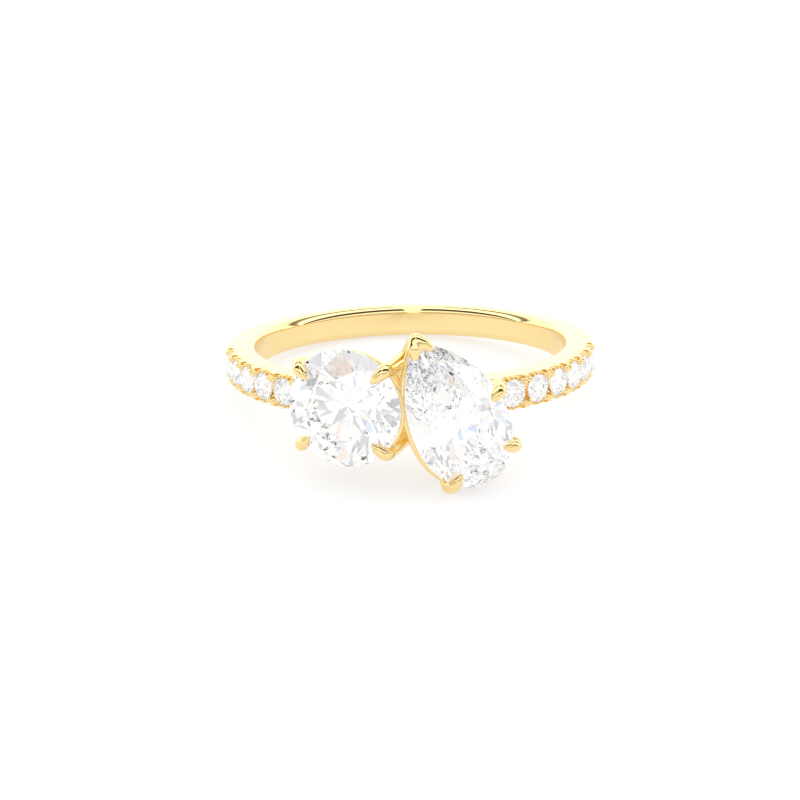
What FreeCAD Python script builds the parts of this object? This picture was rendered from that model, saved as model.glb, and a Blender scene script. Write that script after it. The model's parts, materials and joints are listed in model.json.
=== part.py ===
import FreeCAD, Part
import Sketcher
import math
import os
from FreeCAD import Placement, Rotation, Vector

# Toi et moi ring: a gold hoop with paved shoulders that carries a round and a pear-shaped
# diamond side by side, each in an open claw basket.
#
# The ring is drawn upright in its own axes, with the finger along Z, the stones towards -Y
# and the round stone on the -X side. One placement then lays it on its side, as it rests.
# Every length is in millimetres and every angle in degrees.

os.makedirs("parts", exist_ok=True)
doc = FreeCAD.newDocument("toi_et_moi_ring")

# Driving dimensions

SIZES = [
    ("finger_radius", 8.65, "inside of the hoop, a finger 17.3 mm across"),
    ("band_width", 1.8, "hoop along the finger"),
    ("band_thickness", 1.5, "hoop wall, from the finger outwards"),
    ("finger_edge", 0.15, "rounding of the two inside edges"),
    ("outer_edge", 0.35, "rounding of the two outside edges"),
    ("melee_diameter", 1.48, "small stones of the shoulders"),
    ("melee_count", 7, "small stones in each shoulder"),
    ("melee_first", 22.5, "angle from the head to the first small stone"),
    ("melee_pitch", 9.5, "angle from one small stone to the next"),
    ("seat_clearance", 0.04, "radial room round a small stone"),
    ("seat_depth", 0.38, "straight part of a small stone's seat"),
    ("bead_radius", 0.2, "beads that hold the small stones"),
    ("bead_offset", 0.62, "beads from the middle of the band"),
    ("bead_sink", 0.05, "middles of the beads below the hoop's outside"),
    ("seat_cone_end", 0.2, "radius of a small stone's seat at its bottom"),
    ("seat_cone_share", 0.8, "depth of a seat's cone, as a share of its radius"),
    ("head_reach", 12.1, "girdles of the large stones from the finger's axis"),
    ("round_radius", 3.02, "round stone"),
    ("round_side", -3.32, "round stone, sideways"),
    ("round_rise", 0.31, "round stone, along the finger"),
    ("round_lean", -21.8, "round stone turned outwards"),
    ("pear_half_width", 2.53, "pear stone"),
    ("pear_round_end", 3.32, "pear stone, widest line to its round end"),
    ("pear_point", 5.39, "pear stone, widest line to its point"),
    ("pear_wing_power", 2.26, "how full the sides of the pear are"),
    ("pear_side", 2.57, "pear stone's widest line, sideways"),
    ("pear_rise", -0.84, "pear stone's widest line, along the finger"),
    ("pear_lean", 20.0, "pear stone turned outwards"),
    ("pear_turn", 27.9, "pear stone's point turned towards the round stone"),
    ("girdle_half", 0.08, "half the thickness of a large stone's girdle"),
    ("round_crown_angle", 34.5, "round stone, crown main facets off the girdle plane"),
    ("round_pavilion_angle", 40.9, "round stone, pavilion main facets off the girdle plane"),
    ("pear_crown_height", 0.78, "pear stone, girdle to table"),
    ("pear_pavilion_depth", 2.25, "pear stone, girdle to its lowest point"),
    ("stone_gap", 0.03, "between a large stone and the gold"),
    ("collar_depth", 0.45, "collar below the girdle"),
    ("collar_wire", 0.17, "radius of the collar's wire"),
    ("round_collar_radius", 2.97, "round stone's collar, to the middle of its wire"),
    ("round_collar_shift", 0.12, "round stone's collar, towards the pear stone"),
    ("pear_collar_share", 1.04, "pear stone's collar, outside, as a share of its girdle"),
    ("rail_depth", 1.65, "lower rail below the girdle"),
    ("rail_wire", 0.2, "radius of the lower rail's wire"),
    ("rail_share", 0.64, "lower rail's size, as a share of the girdle's"),
    ("pear_rail_share", 0.72, "pear stone's rail, outside, as a share of its girdle"),
    ("claw_radius", 0.37, "claws at the girdle"),
    ("point_claw_spread", 11.5, "arms of the V-shaped claw, girdle angle from the tip"),
    ("point_claw_lap", 0.1, "arms of the V-shaped claw, inwards of the girdle"),
    ("post_foot", 0.5, "posts between the baskets, radius at the hoop"),
    ("post_top", 0.4, "posts between the baskets, radius at the claws"),
    ("post_knob", 0.45, "balls that join the posts to the claws"),
    ("axis_pitch", -8.3, "the resting ring, head raised by the pear's lowest claw"),
    ("axis_roll", -2.1, "the resting ring, tipped towards the round stone"),
]

sheet = doc.addObject("Spreadsheet::Sheet", "sizes")
for row, (alias, value, meaning) in enumerate(SIZES, start=1):
    sheet.set(f"A{row}", str(value))
    sheet.setAlias(f"A{row}", alias)
    sheet.set(f"B{row}", meaning)
doc.recompute()


def size(alias):
    return float(sheet.get(alias))


def sheet_cell(alias):
    return f"sizes.{alias}"


finger_radius = size("finger_radius")
outer_radius = finger_radius + size("band_thickness")
half_width = size("band_width") / 2
girdle_half = size("girdle_half")


# Hoop: one section turned about the finger's axis, with its four edges rounded

def origin_feature(body, role):
    return next(f for f in body.Origin.OriginFeatures if f.Role == role)


def make_hoop():
    body = doc.addObject("PartDesign::Body", "hoop")
    section = body.newObject("Sketcher::SketchObject", "hoop_section")
    section.AttachmentSupport = [(origin_feature(body, "XZ_Plane"), "")]
    section.MapMode = "FlatFace"
    corners = [
        Vector(finger_radius, -half_width, 0),
        Vector(outer_radius, -half_width, 0),
        Vector(outer_radius, half_width, 0),
        Vector(finger_radius, half_width, 0),
    ]
    for start, end in zip(corners, corners[1:] + corners[:1]):
        section.addGeometry(Part.LineSegment(start, end), False)
    start_point, end_point, axis = 1, 2, -1
    add = section.addConstraint
    for line in range(4):
        add(Sketcher.Constraint("Coincident", line, end_point, (line + 1) % 4, start_point))
    add([Sketcher.Constraint("Horizontal", line) for line in (0, 2)])
    add([Sketcher.Constraint("Vertical", line) for line in (1, 3)])
    lengths = [
        ("finger_radius", Sketcher.Constraint("DistanceX", axis, 1, 0, 1, finger_radius)),
        ("band_thickness", Sketcher.Constraint("DistanceX", 0, 1, 0, 2, size("band_thickness"))),
        ("band_width", Sketcher.Constraint("DistanceY", 1, 1, 1, 2, size("band_width"))),
    ]
    for alias, constraint in lengths:
        index = add(constraint)
        section.setExpression(f"Constraints[{index}]", sheet_cell(alias))
    middle = add(Sketcher.Constraint("DistanceY", 0, 2, axis, 1, half_width))
    section.setExpression(f"Constraints[{middle}]", sheet_cell("band_width") + " / 2")

    ring = body.newObject("PartDesign::Revolution", "hoop_ring")
    ring.Profile = section
    ring.ReferenceAxis = (section, ["V_Axis"])
    ring.Angle = 360
    doc.recompute()
    base = ring
    for alias, radius in (("outer_edge", outer_radius), ("finger_edge", finger_radius)):
        rounding = body.newObject("PartDesign::Fillet", alias + "_rounding")
        edges = [
            f"Edge{number}"
            for number, edge in enumerate(base.Shape.Edges, start=1)
            if hasattr(edge.Curve, "Radius") and abs(edge.Curve.Radius - radius) < 1e-6
        ]
        rounding.Base = (base, edges)
        rounding.Radius = size(alias)
        rounding.setExpression("Radius", sheet_cell(alias))
        doc.recompute()
        base = rounding
    return body


# Paved shoulders: a seat for each small stone and a pair of beads on each edge between seats

def around(angle, radius, rise=0.0):
    """The point at this angle from the head, positive towards the pear."""
    turn = math.radians(angle)
    return Vector(radius * math.sin(turn), -radius * math.cos(turn), rise)


def seat_angles(side):
    return [
        side * (size("melee_first") + size("melee_pitch") * place)
        for place in range(int(size("melee_count")))
    ]


def make_seats():
    """Straight-sided holes that end in cones, as a setter's bur leaves them."""
    tools = []
    radius = size("melee_diameter") / 2 + size("seat_clearance")
    for side in (-1, 1):
        for angle in seat_angles(side):
            inwards = Rotation(Vector(0, 0, 1), -around(angle, 1))
            name = f"seat_{len(tools) + 1}"
            well = doc.addObject("Part::Cylinder", name + "_well")
            well.setExpression("Radius", "sizes.melee_diameter / 2 + sizes.seat_clearance")
            well.setExpression("Height", "2 * sizes.seat_depth")
            well.Placement = Placement(around(angle, outer_radius + size("seat_depth")), inwards)
            cone = doc.addObject("Part::Cone", name + "_cone")
            cone.setExpression("Radius1", "sizes.melee_diameter / 2 + sizes.seat_clearance")
            cone.setExpression("Radius2", sheet_cell("seat_cone_end"))
            cone.Height = size("seat_cone_share") * radius
            cone.Placement = Placement(around(angle, outer_radius - size("seat_depth")), inwards)
            tools += [well, cone]
    return tools


def make_beads():
    beads = []
    half_pitch = size("melee_pitch") / 2
    for side in (-1, 1):
        angles = seat_angles(side)
        between = [angles[0] - side * half_pitch] + [a + side * half_pitch for a in angles]
        for angle in between:
            along = around(angle + 90, 1)
            poles_and_seam_inside = Rotation(-around(angle, 1), Vector(), along, "ZXY")
            for edge in (-1, 1):
                bead = doc.addObject("Part::Sphere", f"bead_{len(beads) + 1}")
                bead.setExpression("Radius", sheet_cell("bead_radius"))
                reach = outer_radius - size("bead_sink")
                middle = around(angle, reach, edge * size("bead_offset"))
                bead.Placement = Placement(middle, poles_and_seam_inside)
                beads.append(bead)
    return beads


# Large stones: each has its own axes, x across, y along and z out of its table

class Stone:
    def __init__(self, side, rise, lean, turn):
        lean = math.radians(lean)
        turn = math.radians(turn)
        across = Vector(math.cos(lean), math.sin(lean), 0)
        along = Vector(0, 0, 1)
        self.centre = Vector(side, -size("head_reach"), rise)
        self.out = Vector(math.sin(lean), -math.cos(lean), 0)
        self.x = across * math.cos(turn) + along * math.sin(turn)
        self.y = along * math.cos(turn) - across * math.sin(turn)

    def at(self, x, y, z):
        return self.centre + self.x * x + self.y * y + self.out * z


round_place = Stone(size("round_side"), size("round_rise"), size("round_lean"), 0)
pear_place = Stone(size("pear_side"), size("pear_rise"), size("pear_lean"), size("pear_turn"))


def round_girdle(angle, grow=0.0):
    """A point of the round girdle and its outward direction."""
    turn = math.radians(angle)
    outward = Vector(math.cos(turn), math.sin(turn), 0)
    return outward * (size("round_radius") + grow), outward


def pear_girdle(angle, grow=0.0):
    """A point of the pear girdle: half an ellipse below the widest line, a power curve above.

    The angle runs from 0 at the widest point, over 90 at the tip, to 180 at the other side.
    """
    width, end, point = size("pear_half_width"), size("pear_round_end"), size("pear_point")
    power = size("pear_wing_power")
    turn = math.radians(angle)
    if math.sin(turn) <= 0:
        spot = Vector(width * math.cos(turn), end * math.sin(turn), 0)
        outward = Vector(math.cos(turn) / width, math.sin(turn) / end, 0)
    else:
        share = 1 - abs(1 - (angle % 360) / 90)
        side = 1 if angle % 360 < 90 else -1
        spot = Vector(side * width * (1 - share ** power), point * share, 0)
        outward = Vector(side, width * power * share ** (power - 1) / point, 0)
    outward.normalize()
    return spot + outward * grow, outward


def clip(faces, point, normal):
    """Cuts away what lies beyond a plane from a convex solid given as loops of points."""
    tiny = 1e-8
    kept = []
    rim = []
    for loop in faces:
        heights = [(corner - point).dot(normal) for corner in loop]
        if max(heights) <= tiny:
            kept.append(loop)
            continue
        new_loop = []
        for index, corner in enumerate(loop):
            following = (index + 1) % len(loop)
            here, there = heights[index], heights[following]
            if here <= tiny:
                new_loop.append(corner)
                if here >= -tiny:
                    rim.append(corner)
            if min(here, there) < -tiny and max(here, there) > tiny:
                crossing = corner + (loop[following] - corner) * (here / (here - there))
                new_loop.append(crossing)
                rim.append(crossing)
        if len(new_loop) > 2 and min(heights) < -tiny:
            kept.append(new_loop)
    corners = []
    for spot in rim:
        if all(spot.distanceToPoint(other) > 1e-6 for other in corners):
            corners.append(spot)
    if len(corners) > 2:
        middle = sum(corners, Vector()) / len(corners)
        first = (corners[0] - middle).normalize()
        second = normal.cross(first)
        corners.sort(key=lambda c: math.atan2((c - middle).dot(second), (c - middle).dot(first)))
        kept.append(corners)
    return kept


def plane_through(a, b, c):
    """A facet's point and outward normal; the stone's middle lies inside."""
    normal = (b - a).cross(c - a).normalize()
    return (a, normal) if a.dot(normal) > 0 else (a, -normal)


def facet_planes(girdle, mains, sides, cut):
    """The planes of a brilliant with this girdle.

    mains are the girdle angles of the main facets, sides the number of girdle facets.
    """
    crown_height = cut["crown"]
    depth = cut["pavilion"]
    top = girdle_half + crown_height
    planes = [(Vector(0, 0, top), Vector(0, 0, 1))]
    for step in range(sides):
        planes.append(girdle(360 * (step + 0.5) / sides))
    points = [girdle(angle)[0] for angle in mains]
    outward = [girdle(angle)[1] for angle in mains]
    tangents = [direction.cross(Vector(0, 0, 1)) for direction in outward]
    for index, point in enumerate(points):
        if abs(point.x) < 1e-9:
            tangents[index] = Vector(1, 0, 0)
    up = Vector(0, 0, girdle_half)
    culet = Vector(0, 0, -girdle_half - depth)
    table = [point * cut["table"] + Vector(0, 0, top) for point in points]

    count = len(mains)
    for index in range(count):
        after = (index + 1) % count
        ahead = mains[after] + (360 if after == 0 else 0)
        junction = girdle((mains[index] + ahead) / 2)[0]
        crown_main = plane_through(points[index] + up, points[index] + up + tangents[index],
                                   table[index])
        crown_next = plane_through(points[after] + up, points[after] + up + tangents[after],
                                   table[after])
        star = meeting(crown_main, crown_next, girdle_half + cut["star"] * crown_height)
        planes.append(crown_main)
        planes.append(plane_through(table[index], table[after], star))
        planes.append(plane_through(star, points[index] + up, junction + up))
        planes.append(plane_through(star, points[after] + up, junction + up))
        main = plane_through(points[index] - up, points[index] - up + tangents[index], culet)
        following = plane_through(points[after] - up, points[after] - up + tangents[after],
                                  culet)
        low = meeting(main, following, -girdle_half - cut["half"] * depth)
        planes.append(main)
        planes.append(plane_through(low, points[index] - up, junction - up))
        planes.append(plane_through(low, points[after] - up, junction - up))
    return planes


def meeting(first, second, height):
    """Where two planes meet at this height."""
    (p, m), (q, n) = first, second
    a = m.dot(p) - m.z * height
    b = n.dot(q) - n.z * height
    scale = m.x * n.y - m.y * n.x
    return Vector((a * n.y - b * m.y) / scale, (m.x * b - n.x * a) / scale, height)


def stone_solid(place, planes, grow=0.0):
    """The convex solid that the planes leave, set in its place on the ring."""
    reach = 20
    low, high = -reach, reach
    block = [Vector(x, y, z) for z in (low, high) for y in (low, high) for x in (low, high)]
    sides = [(0, 2, 3, 1), (4, 5, 7, 6), (0, 1, 5, 4), (2, 6, 7, 3), (0, 4, 6, 2), (1, 3, 7, 5)]
    faces = [[block[corner] for corner in side] for side in sides]
    for point, normal in planes:
        faces = clip(faces, point + normal * grow, normal)
    facets = []
    for loop in faces:
        corners = [place.at(*corner) for corner in loop]
        facets.append(Part.Face(Part.makePolygon(corners + corners[:1])))
    shell = Part.makeShell(facets)
    shell.sewShape()
    return Part.Solid(shell)


def rise_of(angle_name, share):
    """Height that a facet at this angle gains over a share of the round stone's radius."""
    return math.tan(math.radians(size(angle_name))) * share * size("round_radius")


ROUND_TABLE = 0.57
ROUND_CUT = {
    "crown": rise_of("round_crown_angle", 1 - ROUND_TABLE),
    "pavilion": rise_of("round_pavilion_angle", 1),
    "table": ROUND_TABLE,
    "star": 0.69,
    "half": 0.79,
}
PEAR_CUT = {
    "crown": size("pear_crown_height"),
    "pavilion": size("pear_pavilion_depth"),
    "table": 0.58,
    "star": 0.67,
    "half": 0.74,
}
ROUND_MAINS = [45 * step for step in range(8)]
PEAR_MAINS = [0, 38, 90, 142, 180, 225, 270, 315]

ROUND_GIRDLE_FACETS = 64
PEAR_GIRDLE_FACETS = 72

round_planes = facet_planes(round_girdle, ROUND_MAINS, ROUND_GIRDLE_FACETS, ROUND_CUT)
pear_planes = facet_planes(pear_girdle, PEAR_MAINS, PEAR_GIRDLE_FACETS, PEAR_CUT)


def add_shape(label, shape):
    feature = doc.addObject("Part::Feature", label)
    feature.Shape = shape
    return feature


# Baskets: an upper collar and a lower rail for each stone

def pear_wire(place, scale, depth):
    """The pear outline, scaled about its widest line, at a depth below the girdle."""
    wings = []
    for first in (0, 90):
        marks = [pear_girdle(first + 15 * step)[0] * scale for step in range(7)]
        curve = Part.BSplineCurve()
        curve.interpolate([place.at(spot.x, spot.y, -depth) for spot in marks])
        wings.append(curve.toShape())
    marks = [pear_girdle(180 + 18 * step)[0] * scale for step in range(11)]
    bottom = Part.BSplineCurve()
    bottom.interpolate([place.at(spot.x, spot.y, -depth) for spot in marks])
    return Part.Wire(wings + [bottom.toShape()])


def make_pear_band(name, share, depth, wire_radius):
    """A flat band that follows the pear's outline."""
    inner_share = share - 2 * wire_radius / size("pear_half_width")
    outer = Part.Face(pear_wire(pear_place, share, depth + wire_radius))
    inner = Part.Face(pear_wire(pear_place, inner_share, depth + wire_radius))
    return add_shape(name, outer.cut(inner).extrude(pear_place.out * 2 * wire_radius))


def make_round_rail(name, radius, depth, wire_cell, side_shift):
    rail = doc.addObject("Part::Torus", name)
    rail.Radius1 = radius
    rail.setExpression("Radius2", sheet_cell(wire_cell))
    rail.Placement = Placement(
        round_place.at(side_shift, 0, -depth), Rotation(Vector(0, 0, 1), round_place.out)
    )
    return rail


# Claws: each is lofted through circles along a smooth line from the hoop to its point

SECTION_SPACING = 0.5


def claw_solid(points, radii, sideways):
    """Every circle starts on the same side, so that the loft doesn't twist."""
    line = Part.BSplineCurve()
    line.interpolate(points)
    marks = [(line.parameter(points[0]), radii[0])]
    for index in range(1, len(points)):
        start, before = marks[-1]
        end = line.parameter(points[index])
        pieces = max(1, round((points[index] - points[index - 1]).Length / SECTION_SPACING))
        for piece in range(1, pieces + 1):
            share = piece / pieces
            marks.append((start + (end - start) * share,
                          before + (radii[index] - before) * share))
    circles = []
    for place, radius in marks:
        circle = Part.Wire(Part.makeCircle(radius))
        direction = line.tangent(place)[0]
        turn = Rotation(sideways, Vector(), direction, "ZXY")
        circle.Placement = Placement(line.value(place), turn)
        circles.append(circle)
    return Part.makeLoft(circles, True, False)


CLAW_OFFSETS = [(0.14, -0.45), (0.17, 0.0), (0.02, 0.3), (-0.32, 0.47), (-0.68, 0.56)]
CLAW_WIDTHS = [1.0, 1.0, 0.92, 0.72, 0.3]
CLAW_STEM_WIDTH = 1.1


def claw_points(place, girdle, angle):
    """The upper half of a claw, from below the girdle to its point on the crown.

    The offsets are outwards from the girdle and out of the stone's table.
    """
    spot, outward = girdle(angle)
    points = []
    for offset, height in CLAW_OFFSETS:
        reached = spot + outward * offset
        points.append(place.at(reached.x, reached.y, height))
    return points


def make_claw(name, place, girdle, angle, lower):
    """lower are the points below the collar, the first one inside the hoop's wall."""
    radius = size("claw_radius")
    points = lower + claw_points(place, girdle, angle)
    radii = [radius * width for width in [CLAW_STEM_WIDTH] * len(lower) + CLAW_WIDTHS]
    outward = girdle(angle)[1]
    sideways = place.x * -outward.y + place.y * outward.x
    return add_shape(name, claw_solid(points, radii, sideways))


# Where the claws stand: in the hoop's wall, or on top of the posts between the baskets

FOOT_SHARE = 0.65
BRIDGE_TOP = Vector(-0.22, -10.1, 2.4)
BRIDGE_LOW = Vector(-0.15, -10.1, -1.7)


def foot(side, rise):
    """Where a claw stands in the hoop's wall, this share of the way to its outside."""
    radius = finger_radius + FOOT_SHARE * size("band_thickness")
    return Vector(side, -math.sqrt(radius ** 2 - side ** 2), rise)


def at_rail(place, girdle, angle):
    spot = girdle(angle)[0] * size("rail_share")
    return place.at(spot.x, spot.y, -size("rail_depth"))


def make_knob(name, radius, middle, poles, seam):
    """A ball at a joint, its poles and its seam turned into the metal that it joins."""
    knob = doc.addObject("Part::Sphere", name)
    knob.Radius = radius
    knob.Placement = Placement(middle, Rotation(seam, Vector(), poles, "ZXY"))
    return knob


def make_post(name, top, leaving):
    """The post between the two baskets, up to the claw that leaves its top this way."""
    stand = foot(-0.3, math.copysign(0.3, top.z))
    arriving = (top - stand).normalize()
    post = doc.addObject("Part::Cone", name)
    post.setExpression("Radius1", sheet_cell("post_foot"))
    post.setExpression("Radius2", sheet_cell("post_top"))
    post.Height = (top - stand).Length
    post.Placement = Placement(stand, Rotation(Vector(0, 0, 1), top - stand))
    knob = make_knob(name + "_knob", size("post_knob"), top, arriving + leaving,
                     leaving - arriving)
    return [post, knob]


def make_claws():
    claws = []
    round_claws = [
        ("round_claw_outer_upper", 140, foot(-2.5, 0.45)),
        ("round_claw_outer_lower", 221, foot(-2.5, -0.45)),
    ]
    for name, angle, stand in round_claws:
        lower = [stand, at_rail(round_place, round_girdle, angle)]
        claws.append(make_claw(name, round_place, round_girdle, angle, lower))
    for name, angle, bridge in (
        ("round_claw_inner_upper", 43, BRIDGE_TOP),
        ("round_claw_inner_lower", -43, BRIDGE_LOW),
    ):
        collar_point = claw_points(round_place, round_girdle, angle)[0]
        lower = [bridge, (bridge + collar_point) * 0.5]
        claws.append(make_claw(name, round_place, round_girdle, angle, lower))
        claws += make_post(name + "_post", bridge, (collar_point - bridge).normalize())
    pear_claws = [
        ("pear_claw_shoulder", 12, foot(2.4, 0.45)),
        ("pear_claw_heel", -43, foot(2.3, -0.45)),
        ("pear_claw_toe", 222, foot(0.9, -0.45)),
    ]
    for name, angle, stand in pear_claws:
        lower = [stand, at_rail(pear_place, pear_girdle, angle)]
        claws.append(make_claw(name, pear_place, pear_girdle, angle, lower))
    return claws


ARM_END_HEIGHT = 0.42
ARM_MIDDLE_HEIGHT = 0.3
ARM_WIDTHS = (1.05, 0.95, 0.45)


def make_point_claw():
    """The V-shaped claw over the pear's point: a stem and an arm along each side."""
    radius = size("claw_radius")
    tip = size("pear_point")
    spread = size("point_claw_spread")
    crest = pear_place.at(0, tip + 0.06, 0.12)
    arms = []
    for side, angle in (("right", 90 - spread), ("left", 90 + spread)):
        spot, outward = pear_girdle(angle)
        reached = spot - outward * size("point_claw_lap")
        end = pear_place.at(reached.x, reached.y, ARM_END_HEIGHT)
        near = pear_girdle((angle + 90) / 2)[0]
        middle = pear_place.at(near.x, near.y, ARM_MIDDLE_HEIGHT)
        widths = [radius * share for share in ARM_WIDTHS]
        arm = claw_solid([crest, middle, end], widths, pear_place.out)
        arms.append(add_shape(f"point_claw_{side}", arm))
    knob = make_knob("point_claw_crest", radius * 1.08, crest, pear_place.x, -pear_place.out)
    stem_points = [
        BRIDGE_TOP,
        pear_place.at(0, tip - 0.45, -1.3),
        pear_place.at(0, tip + 0.02, 0.0),
    ]
    stem_radii = [radius * CLAW_STEM_WIDTH, radius, radius]
    stem = claw_solid(stem_points, stem_radii, pear_place.x)
    return arms + [knob, add_shape("point_claw_stem", stem)]


# Assembly: the gold is one solid, cut clear of both stones

def resting_placement(shapes):
    """Lays the ring on its side, with the middle of its foot-print at the origin."""
    turn = Rotation(Vector(1, 0, 0), size("axis_pitch")) * Rotation(
        Vector(0, 1, 0), size("axis_roll")
    )
    turned = Part.makeCompound(shapes).copy()
    turned.Placement = Placement(Vector(), turn)
    box = turned.optimalBoundingBox(True, False)
    middle = Vector((box.XMin + box.XMax) / 2, (box.YMin + box.YMax) / 2, box.ZMin)
    return Placement(-middle, turn)


def fuse(name, pieces):
    feature = doc.addObject("Part::MultiFuse", name)
    feature.Shapes = pieces
    feature.Refine = False
    return feature


def cut(name, base, tool):
    feature = doc.addObject("Part::Cut", name)
    feature.Base = base
    feature.Tool = tool
    feature.Refine = False
    return feature


hoop = make_hoop()
seats = fuse("seats", make_seats())
pierced_hoop = cut("pierced_hoop", hoop, seats)
rails = [
    make_round_rail("round_collar", size("round_collar_radius"), size("collar_depth"),
                    "collar_wire", size("round_collar_shift")),
    make_round_rail("round_rail", size("rail_share") * size("round_radius"),
                    size("rail_depth"), "rail_wire", 0),
    make_pear_band("pear_collar", size("pear_collar_share"), size("collar_depth"),
                   size("collar_wire")),
    make_pear_band("pear_rail", size("pear_rail_share"), size("rail_depth"),
                   size("rail_wire")),
]
claws = make_claws() + make_point_claw()
round_parts = [piece for piece in rails + claws if piece.Name.startswith("round")]
pear_parts = [piece for piece in rails + claws if piece not in round_parts]
gap = size("stone_gap")
room = fuse("stone_room", [
    add_shape("round_room", stone_solid(round_place, round_planes, gap)),
    add_shape("pear_room", stone_solid(pear_place, pear_planes, gap)),
])
paved_hoop = fuse("paved_hoop", [pierced_hoop] + make_beads())
clear_hoop = cut("clear_hoop", paved_hoop, room)
clear_round_basket = cut("clear_round_basket", fuse("round_basket", round_parts), room)
clear_pear_basket = cut("clear_pear_basket", fuse("pear_basket", pear_parts), room)
half_mount = fuse("half_mount", [clear_hoop, clear_round_basket])
gold_mount = fuse("gold_mount", [half_mount, clear_pear_basket])
doc.recompute()

nodes = {
    "gold_mount": gold_mount,
    "round_stone": add_shape("round_stone", stone_solid(round_place, round_planes)),
    "pear_stone": add_shape("pear_stone", stone_solid(pear_place, pear_planes)),
}
resting = resting_placement([node.Shape for node in nodes.values()])
for label, node in nodes.items():
    node.Label = label
    node.Placement = resting
doc.recompute()

for feature in doc.Objects:
    faults = {"Invalid", "Error"} & set(feature.State)
    assert not faults, f"{feature.Name} is {faults}"
for label, node in nodes.items():
    shape = node.Shape
    assert not shape.isNull() and shape.isValid(), f"{label} has no valid shape"
    assert len(shape.Solids) == 1, f"{label} has {len(shape.Solids)} solids"
    box = shape.optimalBoundingBox(True, False)
    corners = (box.XMin, box.YMin, box.ZMin, box.XMax, box.YMax, box.ZMax)
    print(label, "volume", round(shape.Volume, 3), "box", [round(side, 2) for side in corners])
    shape.exportStep(f"parts/{label}.step")
print("finger axis", resting.Rotation.multVec(Vector(0, 0, 1)), "centre", resting.Base)
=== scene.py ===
import json
import math
import random

import bmesh
import bpy
import numpy as np
import openvdb
from mathutils import Matrix


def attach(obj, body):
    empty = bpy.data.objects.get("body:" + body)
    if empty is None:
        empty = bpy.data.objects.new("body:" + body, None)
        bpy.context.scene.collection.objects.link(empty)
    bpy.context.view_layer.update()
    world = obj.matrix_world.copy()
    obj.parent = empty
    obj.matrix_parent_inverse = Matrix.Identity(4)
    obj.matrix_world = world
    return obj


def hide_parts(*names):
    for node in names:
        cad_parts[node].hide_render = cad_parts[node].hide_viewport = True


# Toi et moi ring. Shapes are worked out in the ring's own axes, in millimetres: the finger
# along Z, the large stones towards -Y and the round one on the -X side. laid() then takes
# them to the frame, in metres, where the ring lies on its side.

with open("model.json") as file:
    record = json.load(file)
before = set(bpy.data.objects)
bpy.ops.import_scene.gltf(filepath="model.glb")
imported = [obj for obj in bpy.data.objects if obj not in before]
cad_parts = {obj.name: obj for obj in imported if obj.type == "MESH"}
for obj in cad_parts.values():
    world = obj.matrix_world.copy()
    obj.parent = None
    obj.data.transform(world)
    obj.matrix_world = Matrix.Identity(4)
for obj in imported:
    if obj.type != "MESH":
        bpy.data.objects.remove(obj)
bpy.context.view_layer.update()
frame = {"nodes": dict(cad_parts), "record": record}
rng = random.Random(7)

# Sizes of the ring, as built

FINGER_HOLE = next(m for m in frame["record"]["mounts"] if m["name"] == "finger_hole")
FINGER_RADIUS = 8.65
BAND_WIDTH = 1.8
BAND_THICKNESS = 1.5
OUTER_RADIUS = FINGER_RADIUS + BAND_THICKNESS
FINGER_EDGE = 0.15
SHOULDER_EDGE = 0.12
BACK_OUTER_EDGE = 0.55
BACK_FINGER_EDGE = 0.45
HEAD_REACH = 12.1
ROUND_RADIUS = 3.02
PEAR_HALF_WIDTH = 2.53
PEAR_ROUND_END = 3.32
PEAR_POINT = 5.39
PEAR_WING_POWER = 2.26
STONE_GAP = 0.03

SHOULDER_FIRST = 13.0
SHOULDER_LAST = 87.5
MELEE_DIAMETER = 1.48
MELEE_FIRST = 22.5
MELEE_PITCH = 9.5
MELEE_COUNT = 7
MELEE_ANGLES = [MELEE_FIRST + MELEE_PITCH * place for place in range(MELEE_COUNT)]
MELEE_SINK = 0.1
MELEE_GIRDLE_REACH = OUTER_RADIUS - MELEE_SINK
SEAT_CLEARANCE = 0.04
SEAT_RADIUS = MELEE_DIAMETER / 2 + SEAT_CLEARANCE
SEAT_DEPTH = 0.38
SEAT_CONE_DEPTH = 0.62
SEAT_CONE_SLOPE = 0.93

AXIS_PITCH = math.radians(-8.3)
AXIS_ROLL = math.radians(-2.1)
TURN = np.array(Matrix.Rotation(AXIS_PITCH, 3, "X") @ Matrix.Rotation(AXIS_ROLL, 3, "Y"))
RING_CENTRE = np.array(FINGER_HOLE["pos_m"])
METRES = 0.001


def laid(points):
    """Ring axes in millimetres to the frame in metres."""
    return np.asarray(points) @ TURN.T * METRES + RING_CENTRE


def in_ring(points):
    """The frame in metres to ring axes in millimetres."""
    return (np.asarray(points) - RING_CENTRE) @ TURN / METRES


def around(angle):
    """The outward direction at this angle from the head, positive towards the pear."""
    turn = math.radians(angle)
    return np.array([math.sin(turn), -math.cos(turn), 0.0])


class StonePlace:
    """A large stone's own axes: x across, y along and out of its table."""

    def __init__(self, side, rise, lean, turn):
        lean, turn = math.radians(lean), math.radians(turn)
        across = np.array([math.cos(lean), math.sin(lean), 0.0])
        along = np.array([0.0, 0.0, 1.0])
        self.centre = np.array([side, -HEAD_REACH, rise])
        self.out = np.array([math.sin(lean), -math.cos(lean), 0.0])
        self.x = across * math.cos(turn) + along * math.sin(turn)
        self.y = along * math.cos(turn) - across * math.sin(turn)

    def at(self, x, y, z):
        return self.centre + self.x * x + self.y * y + self.out * z


ROUND_PLACE = StonePlace(-3.32, 0.31, -21.8, 0.0)
PEAR_PLACE = StonePlace(2.57, -0.84, 20.0, 27.9)


def round_girdle(angle):
    """A point of the round girdle in the stone's axes, and its outward direction."""
    turn = math.radians(angle)
    outward = np.array([math.cos(turn), math.sin(turn)])
    return outward * ROUND_RADIUS, outward


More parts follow.
